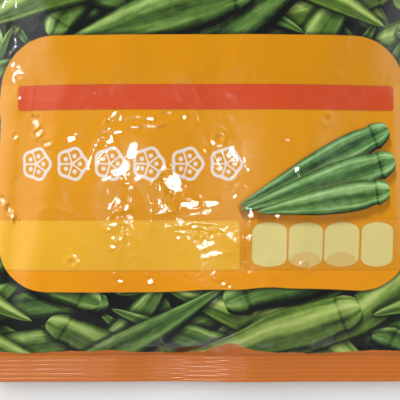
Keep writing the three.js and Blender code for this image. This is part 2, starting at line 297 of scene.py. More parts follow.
def tops_of(tree, x, y):
    """Height of the solids' top at each place, far below where there is nothing."""
    found = np.full(x.shape, -99.0)
    down = Vector((0, 0, -1))
    for place in np.ndindex(x.shape):
        hit = tree.ray_cast(Vector((x[place] * MM, y[place] * MM, 0.2)), down)[0]
        if hit is not None:
            found[place] = hit.z / MM
    return found


# Creases and lumps of the film, as heights over its flat width and length


def waves(x, y, length, seed, count=24):
    """An even random field of about unit height, with bumps about half a length apart."""
    random = np.random.default_rng(seed)
    turns = random.uniform(0, 2 * math.pi, count)
    numbers = 2 * math.pi / length * random.uniform(0.6, 1.4, count)
    starts = random.uniform(0, 2 * math.pi, count)
    total = np.zeros(np.broadcast(x, y).shape)
    for turn, number, start in zip(turns, numbers, starts):
        total += np.cos(number * (math.cos(turn) * x + math.sin(turn) * y) + start)
    return total / math.sqrt(count / 2)


def crumple(x, y, depth):
    """Sharp creases where random fields cross zero, stronger in some places than in others."""
    total = np.zeros(np.broadcast(x, y).shape)
    for length, share, seed in CRUMPLE:
        here = smooth(0.5 + 0.6 * waves(x, y, 2.5 * length, seed + 20))
        total += share * here * (0.8 - np.abs(waves(x, y, length, seed)))
    return depth * total


def path_offset(path, x, y):
    """Distance from a path of points, and how far along it the nearest place is, 0 to 1."""
    path = np.array(path, float)
    lengths = np.hypot(*np.diff(path, axis=0).T)
    starts = np.concatenate([[0], np.cumsum(lengths)])
    nearest, share = np.full(x.shape, np.inf), np.zeros(x.shape)
    for (ax, ay), (bx, by), start, length in zip(path, path[1:], starts, lengths):
        here = ((x - ax) * (bx - ax) + (y - ay) * (by - ay)) / length**2
        here = np.clip(here, 0, 1)
        off = np.hypot(x - mix(ax, bx, here), y - mix(ay, by, here))
        closer = off < nearest
        nearest = np.where(closer, off, nearest)
        share = np.where(closer, (start + here * length) / starts[-1], share)
    return nearest, share


class Heights:
    """Heights over the film's flat width and length, on even columns and rows."""

    def __init__(self, across, along, x, y, base):
        self.across, self.along = across, along
        self.x, self.y, self.base = x, y, base
        self.z = np.zeros((len(along), len(across)))

    def window(self, low, high):
        """The part of the grid in a box, and its places on the flat film."""
        columns = slice(*np.searchsorted(self.across, (low[0], high[0])))
        rows = slice(*np.searchsorted(self.along, (low[1], high[1])))
        x, y = np.meshgrid(self.across[columns], self.along[rows])
        return (rows, columns), x, y

    def crease(self, path, width, rise, open_start=False):
        """A sharp ridge, or a valley for a negative rise, that dies out at its ends."""
        low, high = np.min(path, axis=0) - 5 * width, np.max(path, axis=0) + 5 * width
        part, x, y = self.window(low, high)
        off, share = path_offset(path, x, y)
        taper = 1 - share if open_start else np.sqrt(4 * share * (1 - share))
        self.z[part] += rise * taper * np.exp(-off / width)

    def facet(self, middle, size, turn, lamp):
        """A small flat place that mirrors a lamp into the camera."""
        reach = 1.6 * (max(size) + FACET_MARGIN)
        part, x, y = self.window(np.array(middle) - reach, np.array(middle) + reach)
        dx, dy = x - middle[0], y - middle[1]
        a = (math.cos(turn) * dx + math.sin(turn) * dy) / (size[0] + FACET_MARGIN)
        b = (math.cos(turn) * dy - math.sin(turn) * dx) / (size[1] + FACET_MARGIN)
        seed = int(1000 + 10 * middle[0] + middle[1])
        ragged = 0.3 * np.abs(waves(x, y, 5.0, seed)) + 0.16 * np.abs(waves(x, y, 2.4, seed + 1))
        inside = 1 - smooth(((np.abs(a) ** 3 + np.abs(b) ** 3) ** (1 / 3) + ragged - 1.2) / 0.25)
        weight = inside / max(inside.sum(), 1e-9)
        ground = self.base[part] + self.z[part]
        px, py = self.x[part], self.y[part]
        centre = Vector([(v * weight).sum() for v in (px, py, ground)])
        facing = (lamp - centre * MM).normalized() + (camera_place() - centre * MM).normalized()
        rise_x, rise_y = -facing.x / facing.z, -facing.y / facing.z
        plane = centre.z + rise_x * (px - centre.x) + rise_y * (py - centre.y)
        self.z[part] += (plane - ground) * inside

    def crinkle(self, x, y, half_length, half_width, depth):
        """Fine sharp crinkles in an oval patch."""
        reach = np.array((half_length, half_width))
        part, px, py = self.window(np.array((x, y)) - reach, np.array((x, y)) + reach)
        inside = 1 - smooth(np.hypot((px - x) / half_length, (py - y) / half_width))
        fine = np.abs(waves(px, py, 6.5, 51)) + 0.5 * np.abs(waves(px, py, 3.6, 52))
        self.z[part] -= depth * inside * fine

    def streak(self, path, half_width, lamp):
        """A row of flat places along a path."""
        path = np.array(path, float)
        starts = np.concatenate([[0], np.cumsum(np.hypot(*np.diff(path, axis=0).T))])
        for along in np.arange(STREAK_STEP / 2, starts[-1], STREAK_STEP):
            ahead, behind = along + STREAK_STEP / 2, along - STREAK_STEP / 2
            (x0, y0), (x, y), (x1, y1) = [
                [np.interp(place, starts, column) for column in path.T]
                for place in (behind, along, ahead)
            ]
            turn = math.atan2(y1 - y0, x1 - x0)
            self.facet((x, y), (0.65 * STREAK_STEP, half_width), turn, lamp)

    def pucker(self, middle):
        """The film drawn in round a needle hole."""
        part, x, y = self.window(np.array(middle) - 8, np.array(middle) + 8)
        off = np.hypot(x - middle[0], y - middle[1])
        ring = 0.35 * np.exp(-(((off - 2.4) / 1.1) ** 2))
        self.z[part] += ring - 0.6 * np.exp(-((off / 1.1) ** 2))


def loose_creases(heights, seal, random, settings):
    """Single creases in random places."""
    for _ in range(settings.creases):
        start = random.uniform((-HALF_FLAT, -seal), (HALF_FLAT, seal))
        turn = random.uniform(0, math.pi)
        length = random.uniform(*CREASE_LENGTHS)
        end = start + length * np.array((math.cos(turn), math.sin(turn)))
        bow = (start + end) / 2 + random.uniform(-0.2, 0.2) * length
        rise = random.choice((-1, 1)) * random.uniform(0.25, 1) * settings.crease_rise
        heights.crease([start, bow, end], random.uniform(*CREASE_WIDTHS), rise)


def gathers(heights, seal, random, settings):
    """Folds that run in from the seals and fade."""
    for side in (-1, 1):
        for place in np.arange(-GATHER_ENDS, GATHER_ENDS + 1, GATHER_STEP):
            start = np.array((place + random.uniform(-3, 3), side * (seal + 1)))
            length = random.uniform(*GATHER_LENGTHS)
            lean = random.uniform(-0.25, 0.25)
            end = start + length * np.array((lean, -side))
            rise = random.choice((-1, 1)) * random.uniform(0.35, 1) * settings.gather_rise
            heights.crease([start, end], random.uniform(*GATHER_WIDTHS), rise, open_start=True)


def side_puckers(y, from_fold, from_seal, depth):
    """Small waves along the side folds."""
    drift = waves(y * 0, y, 40, 31)
    wobble = np.sin(y / 2.6 + 1.4 * drift) * (0.6 + 0.4 * waves(y * 0, y, 30, 32))
    return depth * wobble * np.exp(-from_fold / 9) * smooth(from_seal / 20)


def pressed_details(heights, settings):
    """Folds, crinkles and flat places, each where it was pressed in."""
    for path, width, rise in FOLDS:
        heights.crease(path, width, rise * settings.fold_rise)
    for patch in CRINKLES:
        heights.crinkle(*patch, settings.crinkle)
    for name, (lamp, _, _) in GLINT_LAMPS.items():
        for x, y, half_length, half_width, turn in FACETS[name]:
            heights.facet((x, y), (half_length, half_width), turn, Vector(lamp))
        for path, half_width in STREAKS.get(name, []):
            heights.streak(path, half_width, Vector(lamp))


def film_details(heights, seal, settings):
    """All that the film does over its smooth form."""
    x, y = np.meshgrid(heights.across, heights.along)
    from_seal = seal - np.abs(y)
    from_fold = HALF_FLAT - np.abs(x)
    random = np.random.default_rng(5)
    heights.z += crumple(x, y, settings.crumple)
    loose_creases(heights, seal, random, settings)
    gathers(heights, seal, random, settings)
    heights.z += side_puckers(y, from_fold, from_seal, settings.side_pucker)
    pressed_details(heights, settings)
    heights.z *= mix(0.12, 1, smooth((from_seal + 1) / 5))


def film_front(settings):
    """Points of the front by row and column, and their places on the flat film."""
    y, along = row_places(settings.rows)
    x, shares = column_places(y, front_form, settings.front_columns)
    across = shares * HALF_FLAT
    rows = np.repeat(y[:, None], x.shape[1], 1)
    base = front_form(x, rows) + seal_wave(x, rows)

    solid = tops_of(tree_of(["film_bag"]), x, rows)
    solid = np.where(solid < base - 5, base, solid) - settings.sag
    pods = tops_of(tree_of(POD_NODES), x, rows) + settings.pod_gap
    z = np.maximum(solid, pods)
    for _ in range(settings.drape_rounds):
        near = (z[:-2, 1:-1] + z[2:, 1:-1] + z[1:-1, :-2] + z[1:-1, 2:]) / 4
        z[1:-1, 1:-1] = np.maximum(pods[1:-1, 1:-1], near)

    # Near the side folds and the seals the film keeps its smooth form
    near_fold = smooth((np.abs(shares)[None, :] - 0.8) / 0.14)
    near_seal = smooth((np.abs(rows) - HALF_CAVITY + 4) / 4)
    z = mix(z, base, np.maximum(near_fold, near_seal))

    points = np.stack([x, rows, z], axis=-1)
    normals = np.cross(np.gradient(points, axis=1), np.gradient(points, axis=0))
    normals /= np.linalg.norm(normals, axis=-1, keepdims=True)
    seal = float(np.interp(HALF_CAVITY, y, along))
    details = Heights(across, along, x, rows, z)
    film_details(details, seal, settings)
    for place in VENTS:
        nearest = np.argmin((x - place[0]) ** 2 + (rows - place[1]) ** 2)
        row, column = np.unravel_index(nearest, x.shape)
        details.pucker((across[column], along[row]))
    points += normals * details.z[:, :, None]
    return points, across, along, y


def tube_places(across, shares):
    """Places round the tube at each point's start and end, split at the lap seam behind."""
    behind = HALF_FLAT + (1 - shares[::-1]) * HALF_FLAT
    starts = np.concatenate([across, behind[1:-1]])
    ends = np.concatenate([across[1:], behind[1:]])
    past_seam = starts >= LAY_FLAT_WIDTH - 1e-6
    starts[past_seam] -= 2 * LAY_FLAT_WIDTH
    ends[past_seam] -= 2 * LAY_FLAT_WIDTH
    return starts, ends


def tube_faces(along, starts, ends):
    """Faces of the closed tube, with its two caps last, and their places on the flat film."""
    count = len(starts)
    faces, places = [], []
    for row in range(len(along) - 1):
        low, high = along[row], along[row + 1]
        first, second = row * count, (row + 1) * count
        for a in range(count):
            b = (a + 1) % count
            faces.append((first + a, first + b, second + b, second + a))
            places += [(starts[a], low), (ends[a], low), (ends[a], high), (starts[a], high)]
    last = (len(along) - 1) * count
    caps = (range(count - 1, -1, -1), along[0]), (range(last, last + count), along[-1])
    for ring, place in caps:
        faces.append(tuple(ring))
        places += [(starts[v % count], place) for v in ring]
    return faces, places


def film_mesh(settings):
    """The closed film, with its places on the flat tube as the UV map print, in millimetres."""
    front, across, along, y = film_front(settings)
    x, shares = column_places(y, back_form, settings.back_columns)
    rows = np.repeat(y[:, None], x.shape[1], 1)
    z = np.maximum(0, back_form(x, rows) + seal_wave(x, rows))
    back = np.stack([x, rows, z], axis=-1)[:, ::-1][:, 1:-1]
    rings = np.concatenate([front, back], axis=1)
    faces, places = tube_faces(along, *tube_places(across, shares))

    mesh = bpy.data.meshes.new("film_bag_printed")
    mesh.from_pydata((rings.reshape(-1, 3) * MM).tolist(), [], faces)
    layer = mesh.uv_layers.new(name="print")
    layer.uv.foreach_set("vector", np.array(places, np.float32).ravel())
    mesh.polygons.foreach_set("use_smooth", np.ones(len(faces), bool))
    shape = bmesh.new()
    shape.from_mesh(mesh)
    shape.faces.ensure_lookup_table()
    for cap in shape.faces[-2:]:
        for edge in cap.edges:
            edge.smooth = False
    shape.to_mesh(mesh)
    shape.free()
    mesh.update()
    return mesh


# Materials


class Value:
    """A node's output. Arithmetic with it adds math nodes to its sheet."""

    def __init__(self, sheet, socket):
        self.sheet, self.socket = sheet, socket

    def __add__(self, other):
        return self.sheet.math("ADD", self, other)

    def __sub__(self, other):
        return self.sheet.math("SUBTRACT", self, other)

    def __rsub__(self, other):
        return self.sheet.math("SUBTRACT", other, self)

    def __mul__(self, other):
        return self.sheet.math("MULTIPLY", self, other)

    def __truediv__(self, other):
        return self.sheet.math("DIVIDE", self, other)

    def __rtruediv__(self, other):
        return self.sheet.math("DIVIDE", other, self)

    def __pow__(self, other):
        return self.sheet.math("POWER", self, other)

    def __gt__(self, other):
        return self.sheet.math("GREATER_THAN", self, other)

    def __lt__(self, other):
        return self.sheet.math("LESS_THAN", self, other)

    def __neg__(self):
        return self * -1.0

    def __abs__(self):
        return self.sheet.math("ABSOLUTE", self)

    __radd__, __rmul__ = __add__, __mul__


class Sheet:
    """Short ways to put nodes in one node tree."""

    def __init__(self, tree):
        self.tree = tree

    def node(self, kind, **settings):
        node = self.tree.nodes.new(kind)
        for name, value in settings.items():
            setattr(node, name, value)
        return node

    def outputs(self, node):
        """A node's outputs by name."""
        return {socket.name: Value(self, socket) for socket in node.outputs}

    def feed(self, socket, value):
        if isinstance(value, Value):
            self.tree.links.new(value.socket, socket)
        else:
            socket.default_value = value

    def math(self, operation, *values):
        node = self.node("ShaderNodeMath", operation=operation)
        for socket, value in zip(node.inputs, values):
            self.feed(socket, value)
        return Value(self, node.outputs[0])

    def distance(self, x, y):
        """How far the point x, y is from the origin."""
        node = self.node("ShaderNodeVectorMath", operation="LENGTH")
        self.feed(node.inputs[0], self.join(x, y))
        return Value(self, node.outputs["Value"])

    def join(self, x, y, z=0.0):
        node = self.node("ShaderNodeCombineXYZ")
        for socket, value in zip(node.inputs, (x, y, z)):
            self.feed(socket, value)
        return Value(self, node.outputs[0])

    def parts(self, vector):
        node = self.node("ShaderNodeSeparateXYZ")
        self.feed(node.inputs[0], vector)
        return [Value(self, socket) for socket in node.outputs]

    def turned(self, vector, angle):
        """X and Y of a place, turned round the origin."""
        node = self.node("ShaderNodeVectorRotate", rotation_type="Z_AXIS")
        self.feed(node.inputs["Vector"], vector)
        self.feed(node.inputs["Angle"], angle)
        return self.parts(Value(self, node.outputs[0]))[:2]

    def ease(self, value, low, high, to_low=0.0, to_high=1.0):
        """A smooth step from to_low at low to to_high at high."""
        node = self.node("ShaderNodeMapRange", interpolation_type="SMOOTHSTEP")
        for socket, given in zip(node.inputs, (value, low, high, to_low, to_high)):
            self.feed(socket, given)
        return Value(self, node.outputs[0])

    def mix(self, share, a, b, blend="MIX"):
        node = self.node("ShaderNodeMix", data_type="RGBA", blend_type=blend)
        self.feed(node.inputs[0], share)
        for socket, value in ((node.inputs[6], a), (node.inputs[7], b)):
            self.feed(socket, tuple(value) + (1,) if isinstance(value, (tuple, list)) else value)
        return Value(self, node.outputs[2])

    def blend_number(self, share, a, b):
        node = self.node("ShaderNodeMix", data_type="FLOAT")
        for socket, value in zip((node.inputs[0], node.inputs[2], node.inputs[3]), (share, a, b)):
            self.feed(socket, value)
        return Value(self, node.outputs[0])

    def noise(self, vector, scale, detail=2.0, roughness=0.5):
        node = self.node("ShaderNodeTexNoise", noise_dimensions="3D")
        for name, value in (("Vector", vector), ("Scale", scale), ("Detail", detail)):
            self.feed(node.inputs[name], value)
        node.inputs["Roughness"].default_value = roughness
        return Value(self, node.outputs[0])

    def white_noise(self, vector, dimensions):
        node = self.node("ShaderNodeTexWhiteNoise", noise_dimensions=dimensions)
        self.feed(node.inputs["Vector"], vector)
        return self.outputs(node)

    def bump(self, height, distance):
        """A normal from a height, which is in units of the distance."""
        node = self.node("ShaderNodeBump")
        node.inputs["Strength"].default_value = 1.0
        node.inputs["Distance"].default_value = distance
        self.feed(node.inputs["Height"], height)
        return Value(self, node.outputs[0])

    def ramp(self, value, stops):
        node = self.node("ShaderNodeValToRGB")
        elements = node.color_ramp.elements
        while len(elements) < len(stops):
            elements.new(0.5)
        for element, (place, shade) in zip(elements, stops):
            element.position = place
            element.color = (*shade, 1)
        self.feed(node.inputs[0], value)
        return Value(self, node.outputs[0])

    def group(self, tree, **values):
        node = self.node("ShaderNodeGroup", node_tree=tree)
        for name, value in values.items():
            self.feed(node.inputs[name.replace("_", " ").capitalize()], value)
        return self.outputs(node)


# Kinds of the node groups' sockets that aren't plain numbers
SOCKET_KINDS = {"Place": "NodeSocketVector", "Colour": "NodeSocketColor"}


def new_group(name, inputs, outputs):
    """An empty node group: its sheet, the values given to it, and the sockets it has to feed."""
    tree = bpy.data.node_groups.new(name, "ShaderNodeTree")
    for labels, way in ((inputs, "INPUT"), (outputs, "OUTPUT")):
        for label in labels:
            kind = SOCKET_KINDS.get(label, "NodeSocketFloat")
            tree.interface.new_socket(label, in_out=way, socket_type=kind)
    sheet = Sheet(tree)
    given = sheet.outputs(sheet.node("NodeGroupInput"))
    wanted = sheet.node("NodeGroupOutput").inputs
    return sheet, given, wanted


def new_material(name):
    """A new material, with its nodes to build on and its surface."""
    material = bpy.data.materials.new(name)
    material.use_nodes = True
    return material, Sheet(material.node_tree), material.node_tree.nodes["Principled BSDF"]


def box_group():
    """Distance in millimetres from the outline of a box with rounded corners, negative inside."""
    sheet, given, wanted = new_group(
        "rounded box",
        ["X", "Y", "Left", "Right", "Low", "High", "Low corner", "High corner"],
        ["Distance"],
    )

    def reach(place, low, high):
        off = place - (low + high) * 0.5
        return off, abs(off) - (high - low) * 0.5

    _, dx = reach(given["X"], given["Left"], given["Right"])
    off_y, dy = reach(given["Y"], given["Low"], given["High"])
    corner = sheet.blend_number(off_y > 0.0, given["Low corner"], given["High corner"])
    qx, qy = dx + corner, dy + corner
    outside = sheet.distance(sheet.math("MAXIMUM", qx, 0.0), sheet.math("MAXIMUM", qy, 0.0))
    inside = sheet.math("MINIMUM", sheet.math("MAXIMUM", qx, qy), 0.0)
    sheet.feed(wanted["Distance"], outside + inside - corner)
    return sheet.tree


# A printed pod's outline from stem to tip: share of its length, and of its radius
POD_OUTLINE = [
    (0.0, 0.0), (0.01, 0.42), (0.035, 0.62), (0.075, 0.78), (0.1, 0.85), (0.115, 0.8),
    (0.2, 0.95), (0.32, 1.0), (0.5, 0.9), (0.7, 0.62), (0.85, 0.36), (0.95, 0.19), (1.0, 0.0),
]


def printed_pod_group():
    """One printed okra pod that lies along X from its stem at 0."""
    sheet, given, wanted = new_group(
        "printed pod",
        ["Along", "Across", "Length", "Radius", "Tone", "Depth"],
        ["Colour", "Cover", "Shade"],
    )
    settings = bpy.context.scene.okra_print
    share = given["Along"] / given["Length"]
    outline = sheet.node("ShaderNodeFloatCurve")
    curve = outline.mapping.curves[0]
    curve.points[0].location, curve.points[1].location = POD_OUTLINE[0], POD_OUTLINE[-1]
    for place in POD_OUTLINE[1:-1]:
        curve.points.new(*place)
    outline.mapping.update()
    sheet.feed(outline.inputs["Value"], share)
    radius = sheet.outputs(outline)["Value"] * given["Radius"]
    off = abs(given["Across"]) - radius
    on_pod = sheet.math("COMPARE", share, 0.5, 0.5)
    cover = sheet.ease(off, -0.4, 0.4, 1.0, 0.0) * on_pod
    shade = sheet.ease(off, 0.0, 4.0, 1.0, 0.0) * on_pod

    # Round shading, lit from one side, with a ridge and a groove along each rib
    q = given["Across"] / sheet.math("MAXIMUM", radius, 0.3)
    q = sheet.math("MINIMUM", sheet.math("MAXIMUM", q, -1.0), 1.0)
    angle = sheet.math("ARCSINE", q)
    rib = sheet.math("COSINE", given["Tone"] * 5.0 + angle * 5.0) * 0.5 + 0.5
    seed = given["Tone"] * 40.0
    streaks = sheet.noise(sheet.join(share * 3.0, angle * 3.0, seed), 1.5, 3.0)
    mottle = sheet.noise(sheet.join(share * 9.0, q, seed), 2.4, 3.0)
    roundness = sheet.math("COSINE", angle) * 0.46 - 0.46 + q * 0.26
    light = roundness * given["Depth"] + 0.06
    light += rib**6.0 * 0.16 - (1.0 - rib)**3.0 * 0.18
    light += streaks * 0.44 + mottle * 0.22 + given["Tone"] * 0.3
    collar = abs(share - 0.107)
    light -= sheet.ease(collar, 0.0, 0.016, 0.14, 0.0)
    light += sheet.ease(share, 0.05, 0.1, 0.1, 0.0)
    shades = [(0.1, settings.okra_gap), (0.3, settings.okra_dark), (0.52, settings.okra_mid),
              (0.76, settings.okra_light), (1.0, settings.okra_pale)]
    green = sheet.ramp(light, shades)
    yellowed = sheet.mix(1.0, green, (1.12, 1.0, 0.7), "MULTIPLY")
    sheet.feed(wanted["Colour"], sheet.mix(sheet.ease(given["Tone"], 0.2, 1.0), green, yellowed))
    sheet.feed(wanted["Cover"], cover)
    sheet.feed(wanted["Shade"], shade)
    return sheet.tree


def pod_layer_group(pod):
    """A layer of like pods, one to a cell, that all point roughly the same way."""
    sheet, given, wanted = new_group(
        "layer of printed pods",
        ["Place", "Turn", "Seed", "Cell length", "Cell width", "Gaps"],
        ["Colour", "Cover", "Shade"],
    )
    seed = given["Seed"]
    x, y = sheet.turned(given["Place"], given["Turn"])
    row = (y + seed * 13.3) / given["Cell width"]
    row_number = sheet.math("FLOOR", row)
    row_start = sheet.white_noise(sheet.join(row_number, seed), "2D")["Value"]
    column = (x + seed * 37.7) / given["Cell length"] + row_start
    column_number = sheet.math("FLOOR", column)
    cell = sheet.white_noise(sheet.join(column_number, row_number, seed), "3D")
    lean, size, flip = sheet.parts(cell["Color"])

    # Each pod leans and bows a little, and half of them point the other way
    along = (sheet.math("FRACT", column) - 0.5) * given["Cell length"]
    across = (sheet.math("FRACT", row) - 0.5) * given["Cell width"]
    along *= (flip > 0.5) * 2.0 - 1.0
    across += along * (lean * 0.16 - 0.08)
    length = given["Cell length"] * (size * 0.16 + 0.82)
    across += along * along / length * (0.11 - lean * 0.22)
    printed = sheet.group(
        pod, along=length * 0.5 + along, across=across, length=length,
        radius=given["Cell width"] * 0.45, tone=cell["Value"], depth=0.88,
    )
    there = size > given["Gaps"]
    sheet.feed(wanted["Colour"], printed["Colour"])
    for name in ("Cover", "Shade"):
        sheet.feed(wanted[name], printed[name] * there)
    return sheet.tree


def slice_group():
    """A cut slice of okra from above: a ring with five lobes round five seeds."""
    sheet, given, wanted = new_group("okra slice", ["X", "Y", "Radius"], ["Cover"])
    x, y = given["X"] / given["Radius"], given["Y"] / given["Radius"]
    off = sheet.distance(x, y)
    angle = sheet.math("ARCTAN2", y, x)
    lobes = sheet.math("COSINE", angle * 5.0)
    outer = lobes * 0.06 + 0.92
    inner = lobes * 0.07 + 0.74
    soft = SOFT / given["Radius"]

    def past(radius, to_low, to_high):
        return sheet.ease(off - radius, -soft, soft, to_low, to_high)

    ring = past(outer, 1.0, 0.0) * past(inner, 0.0, 1.0)

    def from_fifth(start):
        turned = angle + (2 * math.pi + start)
        return sheet.math("MODULO", turned, 2 * math.pi / 5) - math.pi / 5

    to_spoke = sheet.math("SINE", abs(from_fifth(0.0)))
    spoke = sheet.ease(off * to_spoke, 0.02, 0.08, 1.0, 0.0) * (off < 0.8)
    between = from_fifth(math.pi / 5)
    seed_x = off * sheet.math("COSINE", between) - 0.46
    seed_y = off * sheet.math("SINE", between)
    seed = sheet.ease(sheet.distance(seed_x, seed_y), 0.1, 0.15, 1.0, 0.0)
    cover = sheet.math("MAXIMUM", sheet.math("MAXIMUM", ring, spoke), seed)
    sheet.feed(wanted["Cover"], cover)
    return sheet.tree


# The print, in millimetres on the flat tube: X from the middle of the front, Y up the bag


def box_sides(left, right, low, high, low_corner, high_corner=None):
    """A box of the print, with its corners' radii."""
    return {
        "left": left, "right": right, "low": low, "high": high, "low_corner": low_corner,
        "high_corner": low_corner if high_corner is None else high_corner,
    }


# Left, right, low and high edges, and the corners' radii
PANEL = box_sides(-96.5, 95.0, -88.5, 24.5, 25.0, 29.0)
BAR = box_sides(-84.6, 86.0, -7.6, 3.2, 1.4)
STRIP = box_sides(-120.0, 16.0, -78.3, -55.2, 2.2)
SIDE_ROW = box_sides(18.3, 120.0, -78.1, -54.6, 2.2)
HEADER_LOW = 3.6
FOOT_HIGH = -78.4

# Four tabs, of which two have a tinted oval foot
TAB_EDGES = [(21.2, 36.8), (37.6, 53.1), (53.8, 70.1), (71.1, 86.5)]
TAB_LOW, TAB_HIGH = -76.6, -56.2
TAB_CORNER = 2.2
TAB_BULGE = 0.035
TINTED_TABS = (1, 2)
TINT_DROP = 8.2
TINT_HALF_WIDTH = 7.6
TINT_HALF_HEIGHT = 5.2

# A row of slices: the first one's middle, their step, and their middle up the bag
SLICES = {"first": -75.5, "step": 17.0, "count": 6, "y": -30.8, "radius": 7.7}

# Pods beside the slices: stem, turn, length and radius
MOTIF_PODS = [
    ((83.5, -15.5), 3.6, 76.0, 7.0),
    ((87.0, -29.0), 3.44, 74.0, 7.6),
    ((84.5, -42.0), 3.3, 62.0, 6.8),
]
MOTIF_SHADOW_DROP = 2.2

# Layers of the heap, from the lowest: turn, seed, cell length and width, and share of empty cells
HEAP_LAYERS = [
    (0.8, 1.0, 80.0, 20.0, 0.0), (-0.2, 2.0, 86.0, 21.0, 0.2), (-1.0, 3.0, 80.0, 20.0, 0.35),
    (0.45, 4.0, 92.0, 21.0, 0.4), (-0.6, 5.0, 96.0, 23.0, 0.4), (-0.3, 6.0, 104.0, 26.0, 0.55),
]

# Where loose film shifts the print near the lower seal: middle, width and height of each hump
SLACK_HUMPS = [(28.0, 9.0, 2.0), (46.0, 22.0, 2.1), (4.0, 16.0, 1.7)]
SLACK_FADE = (-92.0, -72.0)

# The orange bands' edges wave, and the lower one rises in a hump: middle, width and height
BAND_WAVE = 0.8
BAND_HUMP = (11.0, 9.5, 5.0)

# Half widths of the print's soft edges
SOFT = 0.28
TAB_SOFT = 0.35
HEADER_SOFT = 0.4
FOOT_SOFT = 0.6
BAND_SOFT = 0.3


def hump(sheet, x, middle, width, height):
    """A smooth hump over x."""
    off = (x - middle) / width
    return sheet.math("EXPONENT", -(off * off)) * height


def slack(sheet, x, y):
    """How far the print shifts along the bag where the film is loose near the lower seal."""
    total = sum(hump(sheet, x, *place) for place in SLACK_HUMPS)
    return total * sheet.ease(y, *SLACK_FADE, 1.0, 0.0)


